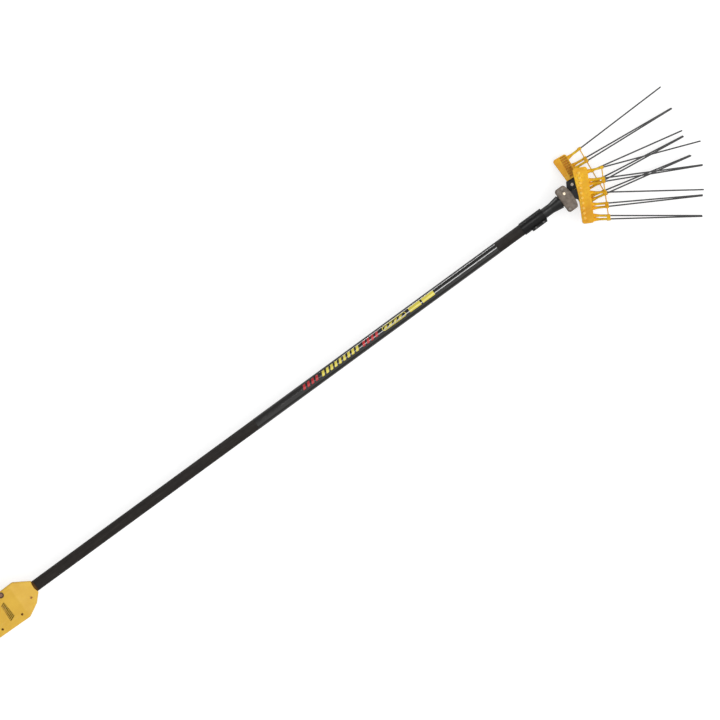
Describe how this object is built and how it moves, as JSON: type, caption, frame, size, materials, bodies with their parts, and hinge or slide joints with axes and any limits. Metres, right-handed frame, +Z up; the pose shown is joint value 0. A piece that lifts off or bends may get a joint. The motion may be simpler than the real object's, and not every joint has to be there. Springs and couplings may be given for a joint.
{
  "type": "electric olive harvester",
  "caption": "Pole-mounted electric olive harvester: motor housing on a long pole, crank gearbox and two counter-swinging combs with slim carbon tines.",
  "frame": {"origin": "on the floor under the middle of the motor housing's flat underside, below the pole's centre line", "axes": "+X along the pole from the motor housing to the combs, +Y to the left seen from the housing, +Z up from the surface the tool lies on"},
  "size_m": [2.6645, 0.4004, 0.083],
  "materials": {
    "housing_yellow": "satin moulded plastic, fine spark-eroded grain",
    "comb_yellow": "satin moulded plastic",
    "pole_black": "matt black coating",
    "sleeve_black": "glossy film",
    "collar_black": "satin black plastic",
    "adapter_black": "satin black coating",
    "cast_aluminium": "bead-blasted casting",
    "lever_black": "blue-black coating",
    "steel": "machined steel",
    "dark_steel": "blackened steel",
    "bronze": "sintered bronze",
    "tine_carbon": "pultruded carbon rod",
    "button_brown": "moulded button",
    "black_plastic": "satin black plastic",
    "copper": "enamelled copper wire",
    "lamination": "stacked steel sheet",
    "magnet": "sintered magnet",
    "motor_steel": "plated steel tube",
    "board_green": "solder mask",
    "aluminium": "extruded aluminium"
  },
  "bodies": {
    "frame": {"upper_housing_shell": "housing_yellow", "lower_housing_shell": "housing_yellow", "housing_screws": "dark_steel", "switch_bezel": "black_plastic", "switch_body": "black_plastic", "cable_gland": "black_plastic", "gland_nut": "black_plastic", "gland_locknut": "black_plastic", "motor_can": "motor_steel", "motor_front_bell": "aluminium", "motor_rear_bell": "aluminium", "motor_bearings": "steel", "stator_core": "lamination", "stator_windings": "copper", "motor_screws": "steel", "control_board": "board_green", "heat_sink": "aluminium", "board_capacitors": "black_plastic", "pole_tube": "pole_black", "pole_sleeve": "sleeve_black", "shaft_bushes": "black_plastic", "pole_collar": "collar_black", "collar_screws": "dark_steel", "head_adapter": "adapter_black", "crank_bearings": "steel", "gearbox_body": "cast_aluminium", "gearbox_cover": "cast_aluminium", "gearbox_screws": "dark_steel", "grease_plug": "steel", "pivot_pin": "steel"},
    "drive_line": {"rotor_core": "lamination", "rotor_magnets": "magnet", "motor_shaft": "steel", "motor_coupling": "aluminium", "cooling_fan": "black_plastic", "drive_shaft": "steel", "shaft_coupling": "steel", "crankshaft": "steel", "eccentric_rings": "steel"},
    "front_comb_swinger": {"front_lever": "lever_black", "front_pivot_bush": "bronze", "front_comb": "comb_yellow", "front_comb_bolts": "steel", "front_tines": "tine_carbon"},
    "rear_comb_swinger": {"rear_lever": "lever_black", "rear_pivot_bush": "bronze", "rear_comb": "comb_yellow", "rear_comb_bolts": "steel", "rear_tines": "tine_carbon"},
    "push_button": {"switch_button": "button_brown"}
  },
  "joints": [
    {"name": "front_comb_swing", "type": "hinge", "parent": "frame", "child": "front_comb_swinger", "pos_m": [2.11, 0, 0.04], "axis": [0, 0, 1], "range_deg": [0, 12]},
    {"name": "rear_comb_swing", "type": "hinge", "parent": "frame", "child": "rear_comb_swinger", "pos_m": [2.11, 0, 0.04], "axis": [0, 0, 1], "range_deg": [-12, 0]},
    {"name": "drive_line_spin", "type": "hinge", "parent": "frame", "child": "drive_line", "pos_m": [0, 0, 0.04], "axis": [1, 0, 0], "continuous": true},
    {"name": "button_press", "type": "slide", "parent": "frame", "child": "push_button", "axis": [0, 0, -1], "range_m": [0, 0.0025], "stiffness_N_per_m": 800}
  ],
  "couplings": [
    {"joint": "rear_comb_swing", "follows": "front_comb_swing", "ratio": -1},
    {"joint": "drive_line_spin", "follows": "front_comb_swing", "ratio": 15}
  ]
}
